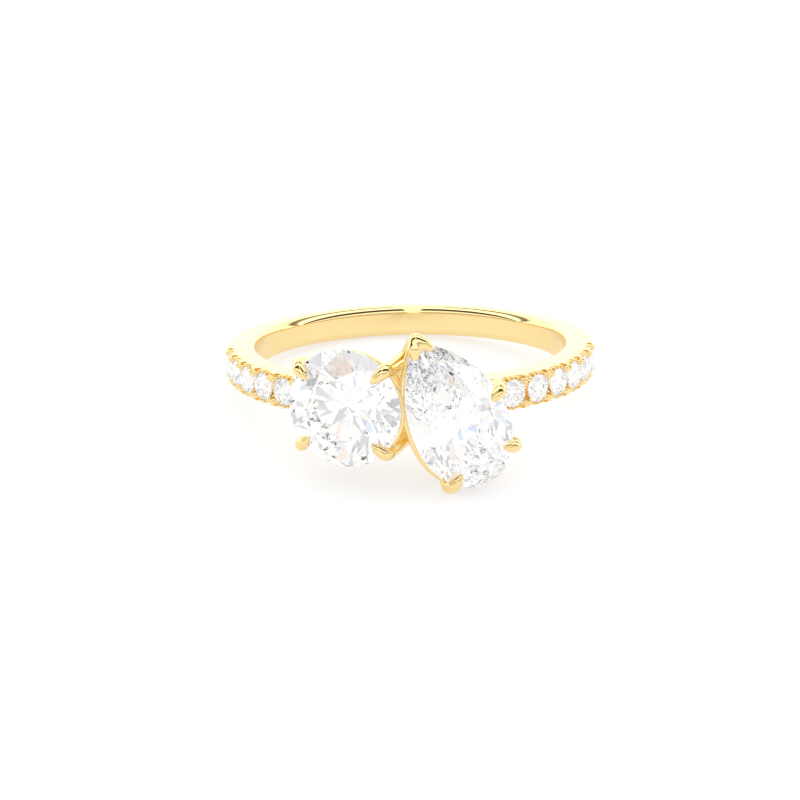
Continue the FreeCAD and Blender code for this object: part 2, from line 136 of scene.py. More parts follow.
def pear_girdle(angle):
    """The same for the pear: 0 at its widest, 90 at its point, 180 at the other side."""
    turn = math.radians(angle)
    if math.sin(turn) <= 0:
        spot = np.array([PEAR_HALF_WIDTH * math.cos(turn), PEAR_ROUND_END * math.sin(turn)])
        outward = np.array([math.cos(turn) / PEAR_HALF_WIDTH, math.sin(turn) / PEAR_ROUND_END])
    else:
        share = 1 - abs(1 - (angle % 360) / 90)
        side = 1 if angle % 360 < 90 else -1
        spot = np.array([side * PEAR_HALF_WIDTH * (1 - share ** PEAR_WING_POWER),
                         PEAR_POINT * share])
        slope = PEAR_WING_POWER * share ** (PEAR_WING_POWER - 1) / PEAR_POINT
        outward = np.array([side, PEAR_HALF_WIDTH * slope])
    return spot, outward / np.linalg.norm(outward)


# Materials

def new_material(name):
    material = bpy.data.materials.new(name)
    material.use_nodes = True
    nodes = material.node_tree.nodes
    return material, nodes, material.node_tree.links, nodes["Principled BSDF"]


def noise(nodes, links, scale, stretch=(1, 1, 1), detail=3.0):
    """A noise texture in the object's own metres, with its features per metre."""
    coordinates = nodes.new("ShaderNodeTexCoord")
    mapping = nodes.new("ShaderNodeMapping")
    mapping.inputs["Scale"].default_value = stretch
    texture = nodes.new("ShaderNodeTexNoise")
    texture.inputs["Scale"].default_value = scale
    texture.inputs["Detail"].default_value = detail
    links.new(coordinates.outputs["Object"], mapping.inputs["Vector"])
    links.new(mapping.outputs["Vector"], texture.inputs["Vector"])
    return texture.outputs["Fac"]


NOISE_LOW = 0.35
NOISE_HIGH = 0.65


def remap(nodes, links, value, low, high):
    """Spreads a noise texture's usual values from low to high."""
    mapped = nodes.new("ShaderNodeMapRange")
    mapped.inputs["From Min"].default_value = NOISE_LOW
    mapped.inputs["From Max"].default_value = NOISE_HIGH
    mapped.inputs["To Min"].default_value = low
    mapped.inputs["To Max"].default_value = high
    links.new(value, mapped.inputs["Value"])
    return mapped.outputs["Result"]


def tint(nodes, links, value, first, second):
    mix = nodes.new("ShaderNodeMix")
    mix.data_type = "RGBA"
    mix.inputs["A"].default_value = (*first, 1)
    mix.inputs["B"].default_value = (*second, 1)
    links.new(value, mix.inputs["Factor"])
    return mix.outputs["Result"]


def add_bump(nodes, links, shader, height, strength, distance):
    bump = nodes.new("ShaderNodeBump")
    bump.inputs["Strength"].default_value = strength
    bump.inputs["Distance"].default_value = distance
    links.new(height, bump.inputs["Height"])
    links.new(bump.outputs["Normal"], shader.inputs["Normal"])


def polished_gold():
    """18 carat yellow gold: mirror polish with faint hairlines and slightly duller patches."""
    material, nodes, links, shader = new_material("polished_gold")
    shader.inputs["Metallic"].default_value = 1.0
    patches = noise(nodes, links, 700)
    links.new(tint(nodes, links, patches, (0.95, 0.745, 0.38), (0.93, 0.71, 0.33)),
              shader.inputs["Base Color"])
    links.new(remap(nodes, links, patches, 0.03, 0.08), shader.inputs["Roughness"])
    hairlines = noise(nodes, links, 2500, stretch=(1, 1, 6), detail=2.0)
    add_bump(nodes, links, shader, hairlines, strength=0.12, distance=0.000004)
    return material


def cut_diamond(name, polish_lines):
    """Clear, with a trace of warm and cool in the stone and hardly visible polish lines."""
    material, nodes, links, shader = new_material(name)
    shader.inputs["Roughness"].default_value = 0.0
    shader.inputs["IOR"].default_value = 2.42
    shader.inputs["Transmission Weight"].default_value = 1.0
    clouds = noise(nodes, links, 500)
    links.new(tint(nodes, links, clouds, (1.0, 0.995, 0.985), (0.985, 0.992, 1.0)),
              shader.inputs["Base Color"])
    lines = noise(nodes, links, 1500, stretch=(1, 8, 1), detail=1.0)
    add_bump(nodes, links, shader, lines, strength=polish_lines, distance=0.000002)
    return material


GOLD = polished_gold()
DIAMOND = cut_diamond("cut_diamond", 0.05)
SMALL_DIAMOND = cut_diamond("small_cut_diamond", 0.1)


# Pieces from points and faces

def place_object(name, mesh):
    item = bpy.data.objects.new(name, mesh)
    bpy.context.scene.collection.objects.link(item)
    return item


def add_gold(name, points, faces, normals):
    """A smooth piece of the mount; points and normals are in ring axes.

    Light that leaves the stones passes it, or else they would take on too much yellow.
    """
    mesh = bpy.data.meshes.new(name)
    mesh.from_pydata(laid(points).tolist(), [], faces)
    mesh.shade_smooth()
    mesh.normals_split_custom_set_from_vertices((normals @ TURN.T).tolist())
    mesh.materials.append(GOLD)
    piece = place_object(name, mesh)
    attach(piece, "root")
    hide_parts("gold_mount")
    piece.visible_transmission = False


# Back of the hoop: a rounded profile swept round the finger

CORNER_STEPS = 12
HOOP_STEP = 0.75


def hoop_profile(angle):
    """Points of the hoop's section as (radius, rise), and their outward normals.

    Its edges are crisp where the stones are and rounder towards the back.
    """
    from_head = 180 - abs(180 - angle % 360)
    share = min(1.0, max(0.0, (from_head - SHOULDER_LAST) / (180 - SHOULDER_LAST) * 2))
    share = share * share * (3 - 2 * share)
    inside = FINGER_EDGE + (BACK_FINGER_EDGE - FINGER_EDGE) * share
    outside = SHOULDER_EDGE + (BACK_OUTER_EDGE - SHOULDER_EDGE) * share
    corners = [
        (FINGER_RADIUS, -BAND_WIDTH / 2, inside, 180),
        (OUTER_RADIUS, -BAND_WIDTH / 2, outside, 270),
        (OUTER_RADIUS, BAND_WIDTH / 2, outside, 0),
        (FINGER_RADIUS, BAND_WIDTH / 2, inside, 90),
    ]
    middle = np.array([FINGER_RADIUS + BAND_THICKNESS / 2, 0.0])
    points, normals = [], []
    for radius, rise, edge, start in corners:
        corner = np.array([radius, rise])
        centre = corner + np.sign(middle - corner) * edge
        for step in range(CORNER_STEPS + 1):
            turn = math.radians(start + 90 * step / CORNER_STEPS)
            normal = np.array([math.cos(turn), math.sin(turn)])
            points.append(centre + normal * edge)
            normals.append(normal)
    return np.array(points), np.array(normals)


BLEND_ANGLE = 2.0
BLEND_INSET = 0.08


def end_inset(beyond):
    """How far a surface sinks, so many degrees beyond the joint with its neighbour."""
    return BLEND_INSET * np.clip(beyond / BLEND_ANGLE, 0, 1) ** 3


def make_hoop_back():
    """The hoop from one shoulder to the other; both ends sink below the shoulders."""
    first, last = SHOULDER_LAST, 360 - SHOULDER_LAST
    count = len(hoop_profile(first)[0])
    angles = np.arange(first - BLEND_ANGLE, last + BLEND_ANGLE + HOOP_STEP / 2, HOOP_STEP)
    points, normals = [], []
    for angle in angles:
        section, section_normals = hoop_profile(angle)
        inset = end_inset(first - angle) + end_inset(angle - last)
        flat = section - section_normals * inset
        outward = around(angle)
        for (radius, rise), (out, up) in zip(flat, section_normals):
            points.append(outward * radius + [0, 0, rise])
            normals.append(outward * out + [0, 0, up])
    faces = []
    for row in range(len(angles) - 1):
        for column in range(count):
            following = (column + 1) % count
            here = row * count
            there = here + count
            faces.append((here + column, there + column, there + following, here + following))
    faces.append(tuple(range(count)))
    faces.append(tuple(range(len(points) - 1, len(points) - count - 1, -1)))
    points = np.array(points)
    add_gold("gold_hoop_back", points, outwards(points, faces), np.array(normals))


def outwards(points, faces):
    """The faces, turned round if they enclose a negative volume."""
    volume = 0.0
    for face in faces:
        corners = points[list(face)]
        for second, third in zip(corners[1:-1], corners[2:]):
            volume += np.dot(corners[0], np.cross(second, third))
    return faces if volume > 0 else [face[::-1] for face in faces]


# Cast gold: distances to a surface on a grid, negative inside, meshed where they are zero

FAR = 1.0
MARGIN = 0.12
CAST_SPACING = 0.038


def smooth_union(first, second, blend):
    """Both distances as one, with a fillet about as wide as the blend."""
    share = np.clip(0.5 + 0.5 * (second - first) / blend, 0, 1)
    return second + (first - second) * share - blend * share * (1 - share)


class Field:
    """Distances on a grid in ring axes or, with a side, along that side's shoulder."""

    def __init__(self, low, high, spacing, side=None):
        self.side = side
        self.low = np.array(low, float)
        self.spacing = np.broadcast_to(np.array(spacing, float), 3)
        counts = np.ceil((np.array(high) - self.low) / self.spacing).astype(int) + 1
        self.values = np.full(counts, FAR, np.float32)

    def window(self, low, high):
        """The slices of the grid between two corners, and the coordinates there."""
        first = np.floor((np.array(low) - self.low) / self.spacing).astype(int)
        last = np.ceil((np.array(high) - self.low) / self.spacing).astype(int) + 1
        first = np.clip(first, 0, self.values.shape)
        last = np.clip(last, first, self.values.shape)
        axes = [self.low[i] + self.spacing[i] * np.arange(first[i], last[i]) for i in range(3)]
        grid = np.stack(np.meshgrid(*axes, indexing="ij"), -1)
        return tuple(slice(a, b) for a, b in zip(first, last)), grid

    def add_rod(self, line, radii, blend):
        """A round rod of changing thickness along a line of points."""
        shape = np.full(self.values.shape, FAR, np.float32)
        for start, end, here, there in zip(line[:-1], line[1:], radii[:-1], radii[1:]):
            reach = max(here, there) + blend + MARGIN
            place, grid = self.window(np.minimum(start, end) - reach,
                                      np.maximum(start, end) + reach)
            along = end - start
            offset = grid - start
            share = np.clip(offset @ along / (along @ along), 0, 1)
            gap = np.linalg.norm(offset - share[..., None] * along, axis=-1)
            gap -= here + (there - here) * share
            shape[place] = np.minimum(shape[place], gap)
        self.values = smooth_union(self.values, shape, blend)

    def in_ring_axes(self, spots):
        """The grid's points in ring axes; a shoulder's grid has to be rolled up for that."""
        if self.side is None:
            return spots
        turn = spots[:, 0] / OUTER_RADIUS
        return np.stack([self.side * spots[:, 1] * np.sin(turn),
                         -spots[:, 1] * np.cos(turn), spots[:, 2]], -1)

    def cut_stones(self):
        """Keeps the gold clear of both large stones, given by their facet planes."""
        for planes in (ROUND_PLANES, PEAR_PLANES):
            near = np.argwhere(self.values < 2 * MARGIN)
            spots = laid(self.in_ring_axes(self.low + near * self.spacing))
            depth = np.full(len(near), -FAR)
            for normal, offset in planes:
                depth = np.maximum(depth, (spots @ normal - offset) / METRES)
            kept = tuple(near.T)
            self.values[kept] = np.maximum(self.values[kept], STONE_GAP - depth)

    def surface(self):
        """Points in the grid's coordinates, quads, and the gradient's direction there."""
        grid = openvdb.FloatGrid(FAR)
        grid.copyFromArray(self.values)
        cells, quads = grid.convertToQuads(isovalue=0.0)
        slopes = np.stack(np.gradient(self.values, *self.spacing), -1)
        base = np.clip(np.floor(cells).astype(int), 0, np.array(self.values.shape) - 2)
        share = cells - base
        gradient = np.zeros(cells.shape)
        for corner in np.ndindex(2, 2, 2):
            weight = np.prod(np.where(corner, share, 1 - share), axis=-1)
            gradient += weight[:, None] * slopes[tuple((base + corner).T)]
        gradient /= np.linalg.norm(gradient, axis=-1, keepdims=True) + 1e-9
        return self.low + cells * self.spacing, quads, gradient


LINE_STEPS = 6


def smooth_line(points, radii):
    """A curve through the points, as short straight stretches, with the radii between."""
    points = np.array(points)
    slopes = np.gradient(points, axis=0)
    line, widths = [points[0]], [radii[0]]
    for index in range(len(points) - 1):
        for step in range(1, LINE_STEPS + 1):
            t = step / LINE_STEPS
            line.append((2 * t ** 3 - 3 * t ** 2 + 1) * points[index]
                        + (t ** 3 - 2 * t ** 2 + t) * slopes[index]
                        + (3 * t ** 2 - 2 * t ** 3) * points[index + 1]
                        + (t ** 3 - t ** 2) * slopes[index + 1])
            widths.append(radii[index] + (radii[index + 1] - radii[index]) * t)
    return line, widths


# Paved shoulders, in coordinates along the hoop, outwards and along the finger

SCALLOP_RADIUS = 1.06
SCALLOP_DEPTH = 0.3
PRONG_RADIUS = 0.165
PRONG_RISE = 0.6
PRONG_SPREAD = 0.17
PRONG_TOP = OUTER_RADIUS - 0.02
GRAIN_RADIUS = 0.085
GRAIN_RING = 0.83
GRAIN_TOP = OUTER_RADIUS - 0.1
GRAIN_TURNS = (-38, -19, 0, 19, 38)
STUD_FOOT = FINGER_RADIUS + 0.8
STUD_BLEND = 0.02
SHOULDER_SPACING = (0.045, 0.036, 0.036)
SHOULDER_MARGIN = 0.1
STUD_ROOM = 0.3


def profile_distance(radius, rise):
    """Distance to the hoop's section, whose corners differ inside and outside."""
    middle = FINGER_RADIUS + BAND_THICKNESS / 2
    edge = np.where(radius > middle, SHOULDER_EDGE, FINGER_EDGE)
    sideways = np.abs(radius - middle) - BAND_THICKNESS / 2 + edge
    upwards = np.abs(rise) - BAND_WIDTH / 2 + edge
    outside = np.hypot(np.maximum(sideways, 0), np.maximum(upwards, 0))
    return outside + np.minimum(np.maximum(sideways, upwards), 0) - edge


def seat_distance(along, height, rise):
    """Distance to the room of one small stone: its seat and the scallop around it."""
    from_axis = np.hypot(along, rise)
    below = np.maximum(OUTER_RADIUS - SEAT_DEPTH - height, 0)
    bottom = OUTER_RADIUS - SEAT_DEPTH - SEAT_CONE_DEPTH - height
    well = np.maximum(from_axis - SEAT_RADIUS + SEAT_CONE_SLOPE * below, bottom)
    scallop = np.maximum(from_axis - SCALLOP_RADIUS, OUTER_RADIUS - SCALLOP_DEPTH - height)
    return np.minimum(well, scallop)


def add_studs(gold, along, height, rise, spots, top, radius):
    """Adds round-topped studs that stand outwards from the hoop at these spots."""
    for spot_along, spot_rise in spots:
        above = np.maximum(height - top, 0)
        sideways = np.hypot(along - spot_along, rise - spot_rise)
        stud = np.maximum(np.hypot(sideways, above) - radius, STUD_FOOT - height)
        gold = smooth_union(gold, stud, STUD_BLEND)
    return gold


def make_shoulder(name, side):
    """A shoulder with its seats, scallops, grains and prongs; side is -1 or 1."""
    edge = BAND_WIDTH / 2 + SHOULDER_MARGIN
    start = math.radians(SHOULDER_FIRST - BLEND_ANGLE) * OUTER_RADIUS - SHOULDER_MARGIN
    end = math.radians(SHOULDER_LAST + BLEND_ANGLE) * OUTER_RADIUS + SHOULDER_MARGIN
    low = (start, FINGER_RADIUS - SHOULDER_MARGIN, -edge)
    high = (end, OUTER_RADIUS + STUD_ROOM, edge)
    field = Field(low, high, SHOULDER_SPACING, side)
    place, grid = field.window(low, high)
    angle = grid[..., 0] / OUTER_RADIUS
    radius, rise = grid[..., 1], grid[..., 2]
    degrees = np.degrees(angle)
    gold = profile_distance(radius, rise)
    gold += end_inset(SHOULDER_FIRST - degrees) + end_inset(degrees - SHOULDER_LAST)
    ends = np.maximum(SHOULDER_FIRST - BLEND_ANGLE - degrees,
                      degrees - SHOULDER_LAST - BLEND_ANGLE)
    gold = np.maximum(gold, np.radians(ends) * OUTER_RADIUS)

    grains = [(GRAIN_RING * math.sin(turn), face * GRAIN_RING * math.cos(turn))
              for turn in np.radians(GRAIN_TURNS) for face in (-1, 1)]
    for seat in MELEE_ANGLES:
        away = angle - math.radians(seat)
        along, height = radius * np.sin(away), radius * np.cos(away)
        gold = np.maximum(gold, -seat_distance(along, height, rise))
        gold = add_studs(gold, along, height, rise, grains, GRAIN_TOP, GRAIN_RADIUS)
    prongs = [(spread, face) for spread in (-PRONG_SPREAD, PRONG_SPREAD)
              for face in (-PRONG_RISE, PRONG_RISE)]
    for gap in range(MELEE_COUNT + 1):
        middle = MELEE_FIRST + MELEE_PITCH * (gap - 0.5)
        away = angle - math.radians(middle)
        along, height = radius * np.sin(away), radius * np.cos(away)
        gold = add_studs(gold, along, height, rise, prongs, PRONG_TOP, PRONG_RADIUS)
    field.values[place] = gold
    field.cut_stones()

    cells, quads, slopes = field.surface()
    turn = cells[:, 0] / OUTER_RADIUS
    zero = np.zeros(len(turn))
    along_hoop = np.stack([side * np.cos(turn), np.sin(turn), zero], -1)
    from_finger = np.stack([side * np.sin(turn), -np.cos(turn), zero], -1)
    normals = (along_hoop * slopes[:, :1] * (OUTER_RADIUS / cells[:, 1:2])
               + from_finger * slopes[:, 1:2] + np.array([0, 0, 1]) * slopes[:, 2:])
    add_cast(name, field.in_ring_axes(cells), quads, normals)


def make_head():
    """The hoop under the large stones, with room for the lowest points of both."""
    end = math.radians(SHOULDER_FIRST + BLEND_ANGLE)
    reach = math.sin(end) * OUTER_RADIUS + MARGIN
    inner = math.cos(end) * FINGER_RADIUS - MARGIN
    low = (-reach, -OUTER_RADIUS - MARGIN, -BAND_WIDTH / 2 - MARGIN)
    high = (reach, -inner, BAND_WIDTH / 2 + MARGIN)
    field = Field(low, high, CAST_SPACING)
    place, grid = field.window(low, high)
    degrees = np.degrees(np.abs(np.arctan2(grid[..., 0], -grid[..., 1])))
    beyond = degrees - SHOULDER_FIRST
    gold = profile_distance(np.hypot(grid[..., 0], grid[..., 1]), grid[..., 2])
    gold += end_inset(beyond)
    field.values[place] = np.maximum(gold, np.radians(beyond - BLEND_ANGLE) * OUTER_RADIUS)
    finish_cast("gold_hoop_head", field)


def add_cast(name, points, quads, normals):
    """A meshed field, its faces turned outwards."""
    corners = points[quads]
    diagonals = np.cross(corners[:, 2] - corners[:, 0], corners[:, 3] - corners[:, 1])
    if np.sum(diagonals * corners.mean(1)) < 0:
        quads = quads[:, ::-1]
    add_gold(name, points, quads.tolist(), normals)


def finish_cast(name, field):
    """Meshes a field that is laid out in ring axes, clear of both large stones."""
    field.cut_stones()
    add_cast(name, *field.surface())


# Baskets and claws. A collar's or rail's line is its share of the girdle's size, and a
# collar is shifted towards the other stone. A claw's offsets are outwards from the girdle
# and out of the stone's table; its widths are shares of the claw's radius.

CLAW_RADIUS = 0.37
COLLAR_DEPTH = 0.45
COLLAR_WIRE = 0.17
ROUND_COLLAR = (0.91, 0.2)
PEAR_COLLAR = (0.955, -0.11)
RAIL_DEPTH = 1.65
RAIL_WIRE = 0.2
RAIL_SHARE = 0.64
RAIL_LINE_SHARE = 0.68
LOOP_POINTS = 72
SOLDER = 0.1
FOOT_SHARE = 0.65
CLAW_OFFSETS = [(0.09, -0.45), (0.12, 0.0), (-0.01, 0.3), (-0.33, 0.46), (-0.77, 0.56)]
CLAW_WIDTHS = [1.0, 1.0, 0.94, 0.74, 0.22]
CLAW_STEM_WIDTH = 1.1
BRIDGE_TOP = np.array([-0.22, -10.1, 2.4])
BRIDGE_LOW = np.array([-0.15, -10.1, -1.7])
POST_SIDE = -0.3
POST_RISE = 0.3
POST_RADII = (0.5, 0.4)
WEB_INNER = np.array([-0.22, -11.7, 2.35])
WEB_OUTER = np.array([-0.8, -12.1, 2.15])
WEB_FOOT = np.array([-0.3, -12.2, 1.25])
WEB_HALF_THICKNESS = 0.11
WEB_RODS = 7
WEB_SOLDER = 0.03
ROUND_BOX = ((-7.4, -13.7, -3.6), (0.9, -9.1, 4.1))
PEAR_BOX = ((-1.3, -14.1, -4.9), (6.3, -9.1, 4.9))
POINT_CLAW_SPREAD = 8.5
POINT_CREST = (0.04, PEAR_POINT - 0.02, 0.14)
POINT_STEM = [(0.18, PEAR_POINT - 0.55, -1.3), (0.08, PEAR_POINT - 0.06, 0)]
ARM_LAP = 0.1
ARM_MIDDLE_HEIGHT = 0.3
ARM_END_HEIGHT = 0.42
ARM_WIDTHS = (1.02, 0.95, 0.55)
STEM_WIDTHS = (0.9, 0.8, 0.9)


def foot(side, rise):
    """Where a claw stands, FOOT_SHARE of the way out through the hoop's wall."""
    radius = FINGER_RADIUS + FOOT_SHARE * BAND_THICKNESS
    return np.array([side, -math.sqrt(radius ** 2 - side ** 2), rise])


# Each claw's angle on its girdle, and where it stands

ROUND_OUTER_CLAWS = [(140, foot(-2.5, 0.45)), (221, foot(-2.5, -0.45))]
ROUND_INNER_CLAWS = [(43, BRIDGE_TOP), (-43, BRIDGE_LOW)]
PEAR_CLAWS = [(12, foot(2.4, 0.45)), (-43, foot(2.3, -0.45)), (222, foot(0.9, -0.45))]


def claw_line(place, girdle, angle, lower):
    """The points and radii of a claw, from below the collar to its point on the crown."""
    spot, outward = girdle(angle)
    upper = [place.at(*(spot + outward * offset), height) for offset, height in CLAW_OFFSETS]
    widths = [CLAW_STEM_WIDTH] * len(lower) + CLAW_WIDTHS
    return smooth_line(lower + upper, [CLAW_RADIUS * width for width in widths])


def add_claw(field, place, girdle, angle, lower):
    field.add_rod(*claw_line(place, girdle, angle, lower), SOLDER)


def add_standing_claws(field, place, girdle, claws):
    """Claws that rise from the hoop past the lower rail."""
    for angle, stand in claws:
        at_rail = place.at(*(girdle(angle)[0] * RAIL_SHARE), -RAIL_DEPTH)
        add_claw(field, place, girdle, angle, [stand, at_rail])


def add_girdle_wire(field, place, girdle, share, shift, depth, wire):
    """A round wire that follows a girdle at a depth below it, shifted across."""
    loop = []
    for step in range(LOOP_POINTS + 1):
        x, y = girdle(360 * step / LOOP_POINTS)[0] * share
        loop.append(place.at(x + shift, y, -depth))
    field.add_rod(loop, [wire] * len(loop), SOLDER)


def add_basket_wires(field, place, girdle, collar):
    add_girdle_wire(field, place, girdle, *collar, COLLAR_DEPTH, COLLAR_WIRE)
    add_girdle_wire(field, place, girdle, RAIL_LINE_SHARE, 0, RAIL_DEPTH, RAIL_WIRE)


def make_round_basket():
    field = Field(*ROUND_BOX, CAST_SPACING)
    add_basket_wires(field, ROUND_PLACE, round_girdle, ROUND_COLLAR)
    add_standing_claws(field, ROUND_PLACE, round_girdle, ROUND_OUTER_CLAWS)
    for angle, bridge in ROUND_INNER_CLAWS:
        first = claw_line(ROUND_PLACE, round_girdle, angle, [])[0][0]
        add_claw(field, ROUND_PLACE, round_girdle, angle, [bridge, (bridge + first) / 2])
        stand = foot(POST_SIDE, math.copysign(POST_RISE, bridge[2]))
        field.add_rod([stand, bridge], POST_RADII, SOLDER)
    add_web(field)
    finish_cast("gold_round_basket", field)


def add_web(field):
    """The small triangular web between the two upper claws and the meeting collars."""
    for share in np.linspace(0, 1, WEB_RODS):
        top = WEB_INNER + (WEB_OUTER - WEB_INNER) * share
        field.add_rod([top, WEB_FOOT], [WEB_HALF_THICKNESS] * 2, WEB_SOLDER)


def make_pear_basket():
    field = Field(*PEAR_BOX, CAST_SPACING)
    add_basket_wires(field, PEAR_PLACE, pear_girdle, PEAR_COLLAR)
    add_standing_claws(field, PEAR_PLACE, pear_girdle, PEAR_CLAWS)
    add_point_claw(field)
    finish_cast("gold_pear_basket", field)


def add_point_claw(field):
    """The V-shaped claw over the pear's point: a stem and an arm along each side."""
    crest = PEAR_PLACE.at(*POINT_CREST)
    for angle in (90 - POINT_CLAW_SPREAD, 90 + POINT_CLAW_SPREAD):
        spot, outward = pear_girdle(angle)
        end = PEAR_PLACE.at(*(spot - outward * ARM_LAP), ARM_END_HEIGHT)
        middle = PEAR_PLACE.at(*pear_girdle((angle + 90) / 2)[0], ARM_MIDDLE_HEIGHT)
        widths = [CLAW_RADIUS * share for share in ARM_WIDTHS]
        field.add_rod(*smooth_line([crest, middle, end], widths), SOLDER)
    stem = [BRIDGE_TOP] + [PEAR_PLACE.at(*spot) for spot in POINT_STEM]
    widths = [CLAW_RADIUS * share for share in STEM_WIDTHS]
    field.add_rod(*smooth_line(stem, widths), SOLDER)


# Diamonds: the frame's own facets, each one flat and sharp

WELD_DISTANCE = 2e-7
FLAT_WITHIN = math.radians(0.2)


def faceted_stone(name, node):
    """A copy of a CAD stone with one face for each facet; gives its mesh and its planes."""
    shape = bmesh.new()
    shape.from_mesh(frame["nodes"][node].data)
    bmesh.ops.remove_doubles(shape, verts=shape.verts, dist=WELD_DISTANCE)
    bmesh.ops.dissolve_limit(shape, angle_limit=FLAT_WITHIN, verts=shape.verts,
                             edges=shape.edges)
    for face in shape.faces:
        face.smooth = False
    shape.normal_update()
    planes = [(np.array(f.normal), float(f.normal.dot(f.verts[0].co))) for f in shape.faces]
    mesh = bpy.data.meshes.new(name)
    shape.to_mesh(mesh)
    shape.free()
    mesh.materials.append(DIAMOND)
    stone = place_object(name, mesh)
    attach(stone, "root")
    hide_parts(node)
    return mesh, planes


def make_small_stones(pattern):
    """Fourteen small brilliants, cut like the large round one, as one joined piece."""
    points = in_ring([vertex.co for vertex in pattern.vertices]) - ROUND_PLACE.centre
    axes = np.stack([ROUND_PLACE.x, ROUND_PLACE.y, ROUND_PLACE.out], -1)
    local = points @ axes * (MELEE_DIAMETER / (2 * ROUND_RADIUS))
    loops = [tuple(polygon.vertices) for polygon in pattern.polygons]
    corners, faces = [], []
    for side in (-1, 1):
        for seat in MELEE_ANGLES:
            angle = side * seat
            outward, along = around(angle), around(angle + 90)
            spin = rng.uniform(0, math.tau)
            turned = np.stack([along * math.cos(spin) + np.array([0, 0, math.sin(spin)]),
                               np.array([0, 0, math.cos(spin)]) - along * math.sin(spin),
                               outward])
            first = len(corners)
            corners.extend(local @ turned + outward * MELEE_GIRDLE_REACH)
            faces.extend(tuple(first + index for index in loop) for loop in loops)
    mesh = bpy.data.meshes.new("shoulder_stones")
    mesh.from_pydata(laid(corners).tolist(), [], outwards(np.array(corners), faces))
    mesh.materials.append(SMALL_DIAMOND)
    stones = place_object("shoulder_stones", mesh)
    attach(stones, "root")


# Studio

FLOOR_HALF = 3.0
FLOOR_GLOW = 0.62


def add_floor():
    """A plain pale floor, wide enough for every view, that glows to soften the shadows."""
    corners = [(x * FLOOR_HALF, y * FLOOR_HALF, 0)
               for x, y in ((-1, -1), (1, -1), (1, 1), (-1, 1))]
    mesh = bpy.data.meshes.new("floor")
    mesh.from_pydata(corners, [], [(0, 1, 2, 3)])
    material, nodes, links, shader = new_material("pale_floor")
    shader.inputs["Roughness"].default_value = 0.9
    shader.inputs["Specular IOR Level"].default_value = 0.0
    paper = noise(nodes, links, 60)
    links.new(tint(nodes, links, paper, (0.42, 0.42, 0.42), (0.4, 0.4, 0.405)),
              shader.inputs["Base Color"])
    shader.inputs["Emission Color"].default_value = (1, 1, 1, 1)
    shader.inputs["Emission Strength"].default_value = FLOOR_GLOW
    mesh.materials.append(material)
    floor = place_object("floor", mesh)


# Brightness of the room by the angle in degrees from the front horizon, over the top, to
# the horizon behind. The gold mirrors soft boxes with dark gaps between them, and the
# stones gather light from a paler room, with a few cool and warm screens.

GOLD_ROOM = [
    (0, 0.88), (12, 0.85), (20, 0.5), (27, 0.45), (33, 1.3), (50, 1.5), (56, 0.1),
    (82, 0.06), (88, 1.8), (112, 2.0), (120, 0.3), (130, 0.25), (137, 1.6), (180, 1.55),
]
STONE_ROOM = [
    (0, 1.0), (16, 0.97), (21, 0.58), (30, 0.54), (35, 1.08), (58, 1.1), (64, 0.52),
    (74, 0.44), (80, 1.2), (108, 1.2), (114, 0.52), (126, 0.47), (134, 1.1), (180, 1.0),
]
SCREENS = [(0.34, (0.55, 0.67, 0.9)), (0.4, (1, 1, 1)), (0.6, (1, 1, 1)),
           (0.66, (1.0, 0.83, 0.7))]

# A narrow strip that brightens the dark gaps, by the distance sideways from its middle

GLARE = [(0.07, (0.56, 0.56, 0.56)), (0.095, (0, 0, 0))]
GLARE_SIDE = 0.06

# What lights the floor, what the camera sees, and the strength all levels are a share of

FLOOR_LIGHT = 1.14
CAMERA_LIGHT = 1.0
ROOM_SCALE = 2.5


def add_ramp(nodes, links, value, stops):
    ramp = nodes.new("ShaderNodeValToRGB")
    elements = ramp.color_ramp.elements
    while len(elements) < len(stops):
        elements.new(0.5)
    for element, (position, colour) in zip(elements, stops):
        element.position = position
        element.color = (*colour, 1)
    links.new(value, ramp.inputs["Fac"])
    return ramp.outputs["Color"]


def add_bands(nodes, links, share, room):
    stops = [(degrees / 180, (level / ROOM_SCALE,) * 3) for degrees, level in room]
    return add_ramp(nodes, links, share, stops)


def mix_colours(nodes, links, factor, first, second, kind="MIX"):
    """first and second are sockets or plain grey levels."""
    mix = nodes.new("ShaderNodeMix")
    mix.data_type = "RGBA"
    mix.blend_type = kind
    for socket, value in (("Factor", factor), ("A", first), ("B", second)):
        if isinstance(value, bpy.types.NodeSocket):
            links.new(value, mix.inputs[socket])
        elif socket == "Factor":
            mix.inputs[socket].default_value = value
        else:
            mix.inputs[socket].default_value = (value, value, value, 1)
    return mix.outputs["Result"]


def maths(nodes, links, operation, first, second):
    node = nodes.new("ShaderNodeMath")
    node.operation = operation
    for socket, value in zip(node.inputs, (first, second)):
        if isinstance(value, bpy.types.NodeSocket):
            links.new(value, socket)
        else:
            socket.default_value = value
    return node.outputs[0]


